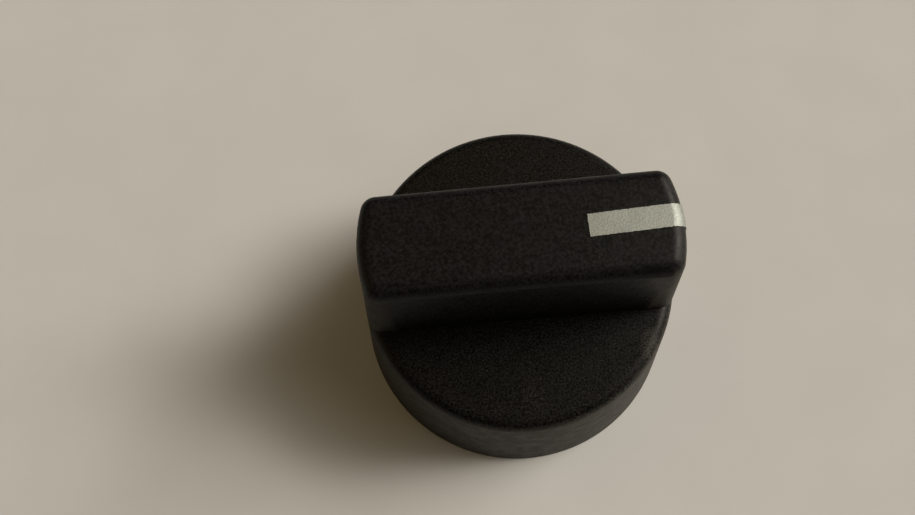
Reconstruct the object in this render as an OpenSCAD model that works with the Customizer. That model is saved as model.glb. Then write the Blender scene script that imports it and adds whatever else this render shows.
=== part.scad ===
// Barbecue control knob: drafted round skirt, flat shoulders and a raised grip bar.
// Millimetres. +Z is up, away from the panel. The grip bar lies along X and its pointer end is at +X.
// The origin is on the foot of the skirt, on the stem axis.

/* [Body] */
// Radius of the skirt at its foot.
skirt_r = 22.5; // [18:0.1:30]
// Inward lean of the wall for each unit of height.
wall_draft = 0.125; // [0.02:0.005:0.2]
// Height of the flat shoulders.
shoulder_z = 21.1; // [14:0.1:30]
// Height of the whole knob.
total_h = 37; // [25:0.1:50]
// Rounding of the shoulder rim.
rim_round = 1.6; // [0.5:0.1:3]
// Small bevel round the foot.
foot_bevel = 0.3; // [0.1:0.1:1]

/* [Grip bar] */
// Thickness of the bar at its top.
bar_t = 12.3; // [8:0.1:18]
// Outward lean of the bar flanks for each unit of depth.
flank_draft = 0.009; // [0:0.001:0.05]
// Rounding of the bar edges.
bar_round = 1.8; // [0.6:0.05:2.5]
// Blend stations along each bar end.
end_steps = 8; // [4:1:12]

/* [Hollow] */
// Wall thickness of the skirt and of the bar flanks.
wall = 2.2; // [1.4:0.1:3]
// Thickness of the shoulder plate and of the bar roof.
roof = 2.4; // [1.4:0.1:3.5]
// Number of stiffening ribs.
rib_n = 4; // [3:1:8]
// Thickness of each rib.
rib_t = 1.4; // [0.8:0.1:2.5]
// Gap between the ring groove and the foot of the ribs.
rib_gap = 0.4; // [0.2:0.1:3]

/* [Hub] */
// Outer radius of the hub.
hub_r = 5.6; // [4.5:0.1:8]
// Height at which the hub starts above the foot.
hub_z = 5; // [0:0.1:8]
// Width of the two slots that let the hub flex.
slot_w = 0.9; // [0.5:0.1:1.5]
// Length of the two slots.
slot_len = 10; // [6:0.5:14]

/* [Stem socket] */
// Radius of the round mouth.
mouth_r = 3.25; // [2.7:0.01:5]
// Length of the round mouth.
mouth_len = 5; // [3:0.1:8]
// Radius of the socket above the mouth.
stem_r = 3.03; // [2.5:0.01:4.5]
// Distance of the flat from the stem axis.
flat_off = 1.6; // [1:0.05:3]
// Length of the stretch that has the flat.
flat_len = 11; // [6:0.5:16]
// Radius of the coring hole above the socket.
core_r = 1.4; // [0.8:0.1:2]

/* [Retaining ring] */
// Depth of the groove that the ring sits in.
groove_d = 0.3; // [0.1:0.05:0.6]
// Height of the groove.
groove_h = 4; // [2:0.1:6]
// Distance of the groove from the hub mouth.
groove_off = 1.2; // [0.6:0.1:3]
// Strip thickness of the ring.
ring_t = 0.6; // [0.3:0.05:1]
// Opening in the ring.
ring_gap = 1.6; // [0.8:0.1:4]
// Clearance between ring and groove.
ring_fit = 0.01; // [0.005:0.005:0.1]

/* [Pointer mark] */
// Width of the foil mark.
mark_w = 2.65; // [1.5:0.05:5]
// Where the mark starts along the bar.
mark_x = 7.4; // [2:0.1:14]
// Sideways offset of the mark at its start.
mark_y = -0.03; // [-1:0.01:1]
// Skew of the mark against the bar, in degrees.
mark_skew = 2; // [-4:0.1:4]
// Thickness of the foil.
foil_t = 0.08; // [0.04:0.01:0.2]
// Height at which the foil ends on the bar end.
mark_low = 35.2; // [32:0.1:36]

/* [Hidden] */
fine = 128;
round_fn = 32;
rim_steps = 8;
big = 60;
over = 1;
sunk = 0.5;
sliver = 0.1;
skin_gap = 0.03;
lean = atan(wall_draft);
bar_top_z = total_h - bar_round;
rim_cz = shoulder_z - rim_round;
bar_foot_z = rim_cz - sunk;
roof_z = total_h - roof;
plate_z = shoulder_z - roof;
core_top_z = roof_z - sunk;
bar_core = bar_t / 2 - wall;
groove_z = hub_z + groove_off;
rib_z = groove_z + groove_h + rib_gap;

// Radius of the outer wall at height z.
function wall_r(z) = skirt_r - wall_draft * z;

// Radius at which a ball of radius b centred at height z touches the outer wall from inside.
function inset_r(z, b) = wall_r(z) - b / cos(lean);

// Half thickness of the bar at height z.
function bar_half(z) = bar_t / 2 + flank_draft * (total_h - z);

// Section of the skirt with its rounded rim.
module skirt_section() {
    rim_cr = inset_r(rim_cz, rim_round);
    rim = [for (i = [0 : rim_steps])
        let (t = lean + (90 - lean) * i / rim_steps)
        [rim_cr + rim_round * cos(t), rim_cz + rim_round * sin(t)]];
    foot = [[0, 0], [skirt_r - foot_bevel, 0], [wall_r(foot_bevel), foot_bevel]];
    polygon(concat(foot, rim, [[0, shoulder_z]]));
}

// Grip bar with all its edges rounded, grown outward by the amount g.
module bar_blank(g = 0) {
    b = bar_round;
    top_c = inset_r(bar_top_z, b) - skin_gap;
    top_y = bar_half(bar_top_z) - b;
    foot_c = inset_r(bar_foot_z, b) - skin_gap;
    foot_y = bar_half(bar_foot_z) - b;
    top_a = asin(top_y / top_c);
    foot_a = asin(foot_y / foot_c);
    hull() {
        for (side = [0, 180], i = [0 : end_steps]) {
            t = 2 * i / end_steps - 1;
            rotate([0, 0, side + top_a * t])
                translate([top_c, 0, bar_top_z])
                rotate([0, 0, -top_a * t])
                sphere(r = b + g, $fn = round_fn);
            rotate([0, 0, side + foot_a * t])
                translate([foot_c, 0, bar_foot_z])
                rotate([0, 0, -foot_a * t])
                cylinder(r = b + g, h = sliver, $fn = round_fn);
        }
    }
}

// Space inside the skirt and inside the bar, left free for the hub and the ribs.
module hollow() {
    difference() {
        intersection() {
            rotate_extrude($fn = fine)
                polygon([
                    [0, -over], [wall_r(-over) - wall, -over],
                    [wall_r(roof_z) - wall, roof_z], [0, roof_z]
                ]);
            rotate([90, 0, 90])
                linear_extrude(height = big, center = true)
                polygon([
                    [-big, -big], [big, -big], [big, plate_z], [bar_core, plate_z],
                    [bar_core, big], [-bar_core, big], [-bar_core, plate_z], [-big, plate_z]
                ]);
        }
        translate([0, 0, hub_z])
            cylinder(r = hub_r, h = big, $fn = fine);
        for (i = [0 : rib_n - 1])
            rotate([0, 0, 360 / rib_n * (i + 0.5)])
            translate([0, -rib_t / 2, rib_z])
            cube([big, rib_t, big]);
    }
}

// Round mouth, stretch with a flat, and coring hole of the stem socket.
module socket() {
    translate([0, 0, hub_z - over])
        cylinder(r = mouth_r, h = mouth_len + over, $fn = fine);
    intersection() {
        translate([0, 0, hub_z])
            cylinder(r = stem_r, h = mouth_len + flat_len, $fn = fine);
        translate([flat_off - big, -big / 2, hub_z])
            cube([big, big, mouth_len + flat_len]);
    }
    translate([0, 0, hub_z])
        cylinder(r = core_r, h = core_top_z - hub_z, $fn = fine);
}

// Two slots across the hub mouth that let it flex.
module flex_slots() {
    translate([-slot_w / 2, -hub_r - over, hub_z - over])
        cube([slot_w, 2 * (hub_r + over), slot_len + over]);
}

// Groove round the hub that holds the retaining ring.
module ring_groove() {
    translate([0, 0, groove_z])
        difference() {
            cylinder(r = hub_r + over, h = groove_h, $fn = fine);
            translate([0, 0, -over])
                cylinder(r = hub_r - groove_d, h = groove_h + 2 * over, $fn = fine);
        }
}

// Black moulding: skirt, shoulders, grip bar, hub, ribs and stem socket in one piece.
module knob_body() {
    color([0.11, 0.1, 0.09])
    difference() {
        union() {
            rotate_extrude($fn = fine)
                skirt_section();
            bar_blank();
        }
        hollow();
        socket();
        flex_slots();
        ring_groove();
    }
}

// Silver foil mark along the bar top and over its rounded end.
module indicator_foil() {
    color([0.6, 0.6, 0.54])
    intersection() {
        difference() {
            bar_blank(foil_t);
            bar_blank();
        }
        translate([mark_x, mark_y, mark_low])
            rotate([0, 0, mark_skew])
            translate([0, -mark_w / 2, 0])
            cube([big, mark_w, big]);
    }
}

// Split steel ring round the hub.
module hub_ring() {
    ring_in = hub_r - groove_d + ring_fit;
    color([0.6, 0.6, 0.6])
    translate([0, 0, groove_z + ring_fit])
        difference() {
            cylinder(r = ring_in + ring_t, h = groove_h - 2 * ring_fit, $fn = fine);
            translate([0, 0, -over])
                cylinder(r = ring_in, h = groove_h + 2 * over, $fn = fine);
            translate([0, -ring_gap / 2, -over])
                cube([big, ring_gap, groove_h + 2 * over]);
        }
}

knob_body();
indicator_foil();
hub_ring();
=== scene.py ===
import math

import bpy
from mathutils import Matrix, Vector

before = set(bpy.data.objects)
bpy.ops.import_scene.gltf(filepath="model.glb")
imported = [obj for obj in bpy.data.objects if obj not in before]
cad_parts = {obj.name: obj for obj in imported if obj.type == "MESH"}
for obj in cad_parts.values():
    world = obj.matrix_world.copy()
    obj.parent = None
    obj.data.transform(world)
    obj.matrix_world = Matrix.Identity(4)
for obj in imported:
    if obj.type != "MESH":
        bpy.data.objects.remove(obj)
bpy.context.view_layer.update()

MM = 0.001

# Camera, from a fit to the outline, the shoulder rim and the bar edges in the photo. Angles are in degrees
SENSOR_W = 36.0
CAM_LENS = 29.086
CAM_AZIMUTH = 5.36
CAM_ELEVATION = 72.75
CAM_ROLL = -10.34
CAM_DISTANCE = 114.94 * MM
CAM_NEAR = 10 * MM
CAM_FAR = 20.0
FOOT_RIGHT = 8.669 * MM
FOOT_DOWN = 7.993 * MM
FLOOR_HALF = 14.0

# Facets that meet at less than CREASE degrees are shaded as one curve. Points nearer than WELD count as one,
# and the weight lets large flat faces decide the normals
CREASE = 32.0
WELD = 0.001 * MM
FLAT_WEIGHT = 100

# Zones of the moulding, each from where it starts to where it is full. The bar goes by height, and the wall
# by radius and by its normal, whose upward share is one on a level face and zero on an upright one
SHOULDER_Z = 21.1 * MM
BAR_TOP_Z = 37.0 * MM
GRIP_Z = (SHOULDER_Z + 1 * MM, BAR_TOP_Z - 3 * MM)
WALL_R = (16.4 * MM, 17.4 * MM)
STEEP = (0.9, 0.2)
LEVEL = (0.2, 0.6)
OUTWARD = (0.0, 0.35)

# Grain of the moulding: what it adds to colour and gloss, and how strongly it shows in each zone.
# Its depth is full on the wall and soft elsewhere
GRAIN = 0.27 * MM
WORN_GRAIN = 0.38 * MM
GRAIN_REACH = 0.18
GRAIN_DEPTH = 0.036 * MM
GRAIN_COLOR = (-0.95, 1.6)
GRAIN_GLOSS = (-0.17, 0.17)
ON_SHOULDER = 1.2
ON_GRIP = 0.6
ON_WALL = 0.42
SOFT_DEPTH = 0.5
DARKEST = 0.05

# Painted glints: pale dots in the colour, in place of grain catching the light
PAINTED_GLINT_SIZE = 0.19 * MM
PAINTED_GLINT_RANGE = (0.62, 0.74)
PAINTED_GLINT_GAIN = 9.0
PAINTED_GLINT_ON_GRIP = 0.35

# Smudge and painted rim highlight, in plan view. Wall dust with painted sheen, lighter towards the lit
# pointer end
SMUDGE_AT = (0.3 * MM, -16.0 * MM)
SMUDGE_SIZE = (2.0 * MM, 3.0 * MM)
SMUDGE_GRAIN = 0.5 * MM
SMUDGE_REACH = 0.15
PAINTED_RIM_HIGHLIGHT_AT = (15.7 * MM, -11.1 * MM)
PAINTED_RIM_HIGHLIGHT_SIZE = (1.7 * MM, 3.0 * MM)
PAINTED_SHEEN_X = 16 * MM
PAINTED_SHEEN_GAIN = (0.65, 1.5)

# Gloss of the moulding
ROUGH_SHOULDER = 0.43
ROUGH_GRIP = 0.445
ROUGH_FLANK = 0.50
ROUGH_WALL = 0.58
CLOUD = 1.8 * MM
CLOUD_GLOSS = (0.91, 1.09)
MOULDING_SPECULAR = 0.12

# Foil mark, placed as in the CAD, and its surface
MARK_X = 7.4 * MM
MARK_Y = -0.03 * MM
MARK_W = 2.65 * MM
MARK_SKEW = 2.0
FRAY = 0.22 * MM
FRAY_EDGE = (0.11 * MM, 0.17 * MM)
FOIL_FLECK = 0.18 * MM
FOIL_FLECK_SHADE = (0.82, 1.18)
FOIL_CLOUD = 1.4 * MM
FOIL_CLOUD_SHADE = (0.95, 1.05)
FOIL_METAL = 0.75
FOIL_ROUGH = 0.60
FOIL_BUMP = 0.2 * MM
FOIL_DEPTH = 0.016 * MM

# Steel ring. Fine streaks run along the strip, because a radian of it takes only STREAK_STEP of noise
STREAK = 0.09 * MM
STREAK_STEP = 0.4 * MM
STREAK_DEPTH = 0.006 * MM
STREAK_SHADE = (0.86, 1.08)
STREAK_GLOSS = (0.24, 0.36)
TARNISH_SIZE = 1.1 * MM
TARNISH_RANGE = (0.45, 0.68)
TARNISH_SHARE = 0.6
TARNISH_DULL = 0.15

# Floor
FLOOR_CLOUD = 14 * MM
FLOOR_SHADE = (0.985, 1.015)
FLOOR_ROUGH = 0.75
FLOOR_SPECULAR = 0.2

# Colours, linear
BLACK = (0.00225, 0.00215, 0.0020)
# Lighter, bluer black on the bar
BAR_BLACK = (0.0036, 0.0034, 0.0041)
# Wall tint, partly dust and partly a painted sheen in place of reflected light on the wall and bar ends
DUST_AND_SHEEN = (0.0236, 0.0223, 0.0200)
SMUDGE = (0.0050, 0.0046, 0.0039)
# Painted highlight on the shoulder rim, in place of the lights' reflection there
PAINTED_RIM_HIGHLIGHT = (0.0120, 0.0114, 0.0100)
SILVER = (0.27, 0.285, 0.272)
STEEL = (0.56, 0.55, 0.53)
TARNISH = (0.30, 0.24, 0.18)
FLOOR = (0.485, 0.485, 0.494)
BACKDROP = (0.47, 0.435, 0.37)
DAYLIGHT = (1.0, 0.93, 0.80)
WARM = (1.0, 0.79, 0.48)
AMBER = (1.0, 0.72, 0.34)

# Soft lights far round the knob. Azimuth from +X towards +Y, elevation and half width are in degrees,
# and radiance and colour follow
LIGHTS = {
    "window": (13, 40, 6, 22.4, DAYLIGHT),
    "window_left": (28, 31, 6, 20.4, DAYLIGHT),
    "window_mid": (5, 41, 6, 9.2, DAYLIGHT),
    "window_right": (5, 35, 5, 21.4, DAYLIGHT),
    "window_top": (17, 52, 11, 4.3, DAYLIGHT),
    "window_low": (8, 14, 8, 7.5, DAYLIGHT),
    "window_edge": (-25, 18, 7, 3.0, DAYLIGHT),
    "front": (-90, 58, 9, 1.4, WARM),
    "room_back": (140, 50, 14, 0.6, AMBER),
    "room_top": (90, 64, 12, 0.65, AMBER),
    "room_left": (185, 20, 12, 0.9, AMBER),
}
# Upward share of a direction up to which gloss sees the backdrop
HORIZON = 0.09


class Nodes:
    """Short calls for building the node tree of a material or a world."""

    def __init__(self, owner):
        self.owner = bpy.data.materials.new(owner) if isinstance(owner, str) else owner
        self.owner.use_nodes = True
        self.tree = self.owner.node_tree
        self.shader = self.tree.nodes.get("Principled BSDF") or self.tree.nodes["Background"]

    def add(self, kind, **settings):
        node = self.tree.nodes.new(kind)
        for key, value in settings.items():
            setattr(node, key, value)
        return node

    def feed(self, socket, value):
        """Links a socket, or sets it to a constant."""
        if isinstance(value, bpy.types.NodeSocket):
            self.tree.links.new(value, socket)
        elif value is not None:
            socket.default_value = value

    def set(self, name, value):
        """Feeds an input of the shader. A colour comes without its alpha."""
        self.feed(self.shader.inputs[name], (*value, 1.0) if isinstance(value, tuple) else value)

    def where(self, output):
        """A texture coordinate. Object gives the point in the shared frame, in metres."""
        return self.add("ShaderNodeTexCoord").outputs[output]

    def xyz(self, vector=None):
        node = self.add("ShaderNodeSeparateXYZ")
        self.feed(node.inputs[0], vector or self.where("Object"))
        return node.outputs

    def math(self, operation, a, b=None):
        node = self.add("ShaderNodeMath", operation=operation)
        self.feed(node.inputs[0], a)
        self.feed(node.inputs[1], b)
        return node.outputs[0]

    def times(self, a, b):
        return self.math("MULTIPLY", a, b)

    def plus(self, a, b):
        return self.math("ADD", a, b)

    def minus(self, a, b):
        return self.math("SUBTRACT", a, b)

    def vector(self, operation, a, b, output="Vector"):
        """Vector sum or product. A scale factor goes in as b."""
        node = self.add("ShaderNodeVectorMath", operation=operation)
        self.feed(node.inputs[0], a)
        self.feed(node.inputs["Scale"] if operation == "SCALE" else node.inputs[1], b)
        return node.outputs[output]

    def noise(self, size, detail=2.0, rough=0.5, vector=None):
        """Noise whose grains are about size across, in metres. Values lie round 0.5."""
        node = self.add("ShaderNodeTexNoise")
        self.feed(node.inputs["Vector"], vector or self.where("Object"))
        node.inputs["Scale"].default_value = 1.0 / size
        node.inputs["Detail"].default_value = detail
        node.inputs["Roughness"].default_value = rough
        return node.outputs["Fac"]

    def span(self, value, low, high, out_low=0.0, out_high=1.0, smooth=True):
        """Maps low..high to out_low..out_high, held at both ends."""
        node = self.add("ShaderNodeMapRange", clamp=True)
        node.interpolation_type = "SMOOTHSTEP" if smooth else "LINEAR"
        for socket, number in zip(node.inputs[:5], (value, low, high, out_low, out_high)):
            self.feed(socket, number)
        return node.outputs[0]

    def vary(self, noise, low=0.0, high=1.0, reach=0.2, smooth=True):
        """Maps a noise that lies within reach of 0.5 to low..high."""
        return self.span(noise, 0.5 - reach, 0.5 + reach, low, high, smooth)

    def blend(self, share, a, b):
        node = self.add("ShaderNodeMix", data_type="FLOAT")
        self.feed(node.inputs[0], share)
        self.feed(node.inputs[2], a)
        self.feed(node.inputs[3], b)
        return node.outputs[0]

    def tint(self, share, a, b):
        node = self.add("ShaderNodeMix", data_type="RGBA")
        self.feed(node.inputs[0], share)
        self.feed(node.inputs[6], (*a, 1.0) if isinstance(a, tuple) else a)
        self.feed(node.inputs[7], (*b, 1.0) if isinstance(b, tuple) else b)
        return node.outputs[2]

    def bump(self, height, depth):
        """Bump whose height of 0 to 1 stands for depth metres."""
        node = self.add("ShaderNodeBump")
        node.inputs["Strength"].default_value = 1.0
        node.inputs["Distance"].default_value = depth
        self.feed(node.inputs["Height"], height)
        return node.outputs["Normal"]

    def spot(self, middle, size):
        """One at the middle of an ellipse on the plan view, falling to zero at its border."""
        x, y, _ = self.xyz()
        u = self.math("DIVIDE", self.minus(x, middle[0]), size[0])
        v = self.math("DIVIDE", self.minus(y, middle[1]), size[1])
        return self.span(self.plus(self.times(u, u), self.times(v, v)), 1.0, 0.0)


class Moulding(Nodes):
    """Nodes of the black moulding, with the zones and the grain that colour, gloss and bump share."""

    def __init__(self):
        super().__init__("black_plastic")
        x, y, z = self.xyz()
        face_x, face_y, self.up = self.xyz(self.where("Normal"))
        reach = self.math("SQRT", self.plus(self.times(x, x), self.times(y, y)))
        outward = self.plus(self.times(face_x, x), self.times(face_y, y))
        outside = self.span(self.math("DIVIDE", outward, reach), *OUTWARD)
        self.grip = self.span(z, *GRIP_Z)
        self.outer = self.span(reach, *WALL_R)
        self.wall = self.times(self.times(self.span(self.up, *STEEP), self.outer), outside)
        self.grain = self.blend(self.grip, self.noise(GRAIN, 1.0), self.noise(WORN_GRAIN, 1.0))
        self.coarse = self.blend(self.wall, self.blend(self.grip, ON_SHOULDER, ON_GRIP), ON_WALL)
        self.full = self.blend(self.wall, self.coarse, 1.0)


def moulding_color(n):
    """Black, lighter and bluer on the bar, a wall tint of dust and painted sheen, grain, painted glints and
    a painted rim highlight.
    """
    patchy = n.vary(n.noise(SMUDGE_GRAIN, rough=0.6), reach=SMUDGE_REACH)
    top = n.tint(n.times(n.spot(SMUDGE_AT, SMUDGE_SIZE), patchy), n.tint(n.grip, BLACK, BAR_BLACK), SMUDGE)
    # Painted highlight on the shoulder rim
    top = n.tint(n.spot(PAINTED_RIM_HIGHLIGHT_AT, PAINTED_RIM_HIGHLIGHT_SIZE), top, PAINTED_RIM_HIGHLIGHT)
    # Wall tint of dust and painted sheen, lighter towards the lit pointer end
    dust_and_sheen = n.vector("SCALE", DUST_AND_SHEEN, n.span(n.xyz()[0], -PAINTED_SHEEN_X, PAINTED_SHEEN_X, *PAINTED_SHEEN_GAIN))
    fleck = n.times(n.vary(n.grain, *GRAIN_COLOR, GRAIN_REACH, smooth=False), n.coarse)
    shade = n.vector("SCALE", n.tint(n.wall, top, dust_and_sheen), n.math("MAXIMUM", n.plus(fleck, 1.0), DARKEST))
    # Painted glints: pale dots in place of grain catching the light
    painted_glints = n.span(n.noise(PAINTED_GLINT_SIZE, 1.0), *PAINTED_GLINT_RANGE, 0.0, PAINTED_GLINT_GAIN)
    glints_shown = n.times(painted_glints, n.blend(n.grip, n.full, PAINTED_GLINT_ON_GRIP))
    return n.vector("ADD", shade, n.vector("SCALE", BLACK, glints_shown))


def moulding_gloss(n):
    """Roughness. Shoulders and bar top shine more than the steep flanks and the wall."""
    steep = n.blend(n.outer, ROUGH_FLANK, ROUGH_WALL)
    level = n.blend(n.grip, ROUGH_SHOULDER, ROUGH_GRIP)
    rough = n.blend(n.span(n.up, *LEVEL), steep, level)
    pitted = n.times(n.vary(n.grain, *GRAIN_GLOSS, GRAIN_REACH, smooth=False), n.full)
    cloud = n.vary(n.noise(CLOUD, rough=0.55), *CLOUD_GLOSS)
    return n.times(rough, n.times(cloud, n.plus(pitted, 1.0)))


def black_plastic():
    """Spark-eroded black moulding. The bar is worn smoother by fingers, and the skirt wall is duller."""
    n = Moulding()
    n.set("Base Color", moulding_color(n))
    n.set("Roughness", moulding_gloss(n))
    n.set("Specular IOR Level", MOULDING_SPECULAR)
    n.set("Normal", n.bump(n.times(n.grain, n.blend(n.wall, SOFT_DEPTH, 1.0)), GRAIN_DEPTH))
    return n.owner


def foil_cover(n):
    """One on the foil, and zero where its border is frayed away. The mark lies askew to the bar."""
    x, y, _ = n.xyz()
    skew = math.radians(MARK_SKEW)
    along = n.minus(x, MARK_X)
    aside = n.minus(n.times(n.minus(y, MARK_Y), math.cos(skew)), n.times(along, math.sin(skew)))
    border = n.math("MINIMUM", n.minus(MARK_W / 2, n.math("ABSOLUTE", aside)), along)
    return n.span(n.plus(border, n.times(n.noise(FRAY, 1.0), FRAY)), *FRAY_EDGE)


def silver_foil():
    """Hot-stamped foil with fine flecks and a slightly frayed border."""
    n = Nodes("silver_foil")
    cover = foil_cover(n)
    fleck = n.vary(n.noise(FOIL_FLECK, rough=0.6), *FOIL_FLECK_SHADE, smooth=False)
    cloud = n.vary(n.noise(FOIL_CLOUD), *FOIL_CLOUD_SHADE)
    n.set("Base Color", n.tint(cover, BLACK, n.vector("SCALE", SILVER, n.times(fleck, cloud))))
    n.set("Metallic", n.blend(cover, 0.0, FOIL_METAL))
    n.set("Roughness", FOIL_ROUGH)
    n.set("Normal", n.bump(n.noise(FOIL_BUMP, 1.0), FOIL_DEPTH))
    return n.owner


def ring_steel():
    """Spring steel strip, drawn lengthwise and lightly tarnished."""
    n = Nodes("ring_steel")
    x, y, z = n.xyz()
    around = n.add("ShaderNodeCombineXYZ")
    n.feed(around.inputs[0], n.times(n.math("ARCTAN2", y, x), STREAK_STEP))
    n.feed(around.inputs[1], z)
    drawn = n.noise(STREAK, rough=0.6, vector=around.outputs[0])
    tarnish = n.span(n.noise(TARNISH_SIZE, 3.0, 0.6), *TARNISH_RANGE)
    bright = n.vector("SCALE", STEEL, n.vary(drawn, *STREAK_SHADE))
    n.set("Base Color", n.tint(n.times(tarnish, TARNISH_SHARE), bright, TARNISH))
    n.set("Metallic", 1.0)
    n.set("Roughness", n.plus(n.vary(drawn, *STREAK_GLOSS), n.times(tarnish, TARNISH_DULL)))
    n.set("Normal", n.bump(drawn, STREAK_DEPTH))
    return n.owner


def floor_card():
    """Pale card with a hardly visible cloudiness."""
    n = Nodes("floor_card")
    n.set("Base Color", n.vector("SCALE", FLOOR, n.vary(n.noise(FLOOR_CLOUD, 3.0), *FLOOR_SHADE)))
    n.set("Roughness", FLOOR_ROUGH)
    n.set("Specular IOR Level", FLOOR_SPECULAR)
    return n.owner


def soften(piece):
    """Shades the facets of a rounding as one curve. No point moves."""
    piece.modifiers.new("weld", "WELD").merge_threshold = WELD
    piece.modifiers.new("creases", "EDGE_SPLIT").split_angle = math.radians(CREASE)
    piece.modifiers.new("normals", "WEIGHTED_NORMAL").weight = FLAT_WEIGHT


def dress():
    """Gives the CAD nodes their materials."""
    looks = {"knob_body": black_plastic(), "indicator_foil": silver_foil(), "hub_ring": ring_steel()}
    for name, material in looks.items():
        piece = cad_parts[name]
        piece.data.materials.clear()
        piece.data.materials.append(material)
        soften(piece)


def make_floor():
    corners = [(x * FLOOR_HALF, y * FLOOR_HALF, 0) for x, y in ((-1, -1), (1, -1), (1, 1), (-1, 1))]
    data = bpy.data.meshes.new("floor")
    data.from_pydata(corners, [], [(0, 1, 2, 3)])
    data.materials.append(floor_card())
    floor = bpy.data.objects.new("floor", data)
    bpy.context.scene.collection.objects.link(floor)


def direction(azimuth, elevation):
    """Unit vector from the knob. Degrees, azimuth from +X towards +Y."""
    a = math.radians(azimuth)
    e = math.radians(elevation)
    return (math.cos(a) * math.cos(e), math.sin(a) * math.cos(e), math.sin(e))


def camera_axes():
    """Right, up and back of the camera. Its azimuth counts from the front, -Y."""
    az = math.radians(CAM_AZIMUTH)
    roll = math.radians(CAM_ROLL)
    back = Vector(direction(CAM_AZIMUTH - 90, CAM_ELEVATION))
    level = Vector((math.cos(az), math.sin(az), 0.0))
    lift = back.cross(level)
    right = level * math.cos(roll) + lift * math.sin(roll)
    up = lift * math.cos(roll) - level * math.sin(roll)
    return right, up, back


def make_camera():
    """Camera at the photo's viewing angle. The knob's foot centre lies right of and below the view axis."""
    right, up, back = camera_axes()
    data = bpy.data.cameras.new("photo_camera")
    data.sensor_width = SENSOR_W
    data.lens = CAM_LENS
    data.clip_start = CAM_NEAR
    data.clip_end = CAM_FAR
    cam = bpy.data.objects.new("photo_camera", data)
    place = back * CAM_DISTANCE - right * FOOT_RIGHT + up * FOOT_DOWN
    turn = Matrix((right, up, back)).transposed().to_4x4()
    cam.matrix_world = Matrix.Translation(place) @ turn
    bpy.context.scene.collection.objects.link(cam)
    bpy.context.scene.camera = cam


def soft_light(n, way, azimuth, elevation, half, radiance, color):
    """Light seen along way. Its radiance has fallen to a half at the angle half from its middle."""
    tight = math.log(2) / (1 - math.cos(math.radians(half)))
    off = n.minus(n.vector("DOT_PRODUCT", way, direction(azimuth, elevation), "Value"), 1.0)
    return n.vector("SCALE", color, n.times(n.math("EXPONENT", n.times(off, tight)), radiance))


def make_world():
    """Soft lights in a dark room. The camera sees a pale backdrop, and gloss sees it along the horizon."""
    world = bpy.data.worlds.new("world")
    n = Nodes(world)
    way = n.where("Generated")
    total = (0.0, 0.0, 0.0)
    for light in LIGHTS.values():
        total = n.vector("ADD", total, soft_light(n, way, *light))
    path = n.add("ShaderNodeLightPath").outputs
    gloss = n.math("MAXIMUM", path["Is Glossy Ray"], path["Is Transmission Ray"])
    low = n.span(n.xyz(way)[2], HORIZON, 0.0)
    seen = n.math("MAXIMUM", path["Is Camera Ray"], n.times(gloss, low))
    n.set("Color", n.tint(seen, total, BACKDROP))
    bpy.context.scene.world = world


dress()
make_floor()
make_camera()
make_world()
bpy.context.scene.view_settings.view_transform = "Standard"
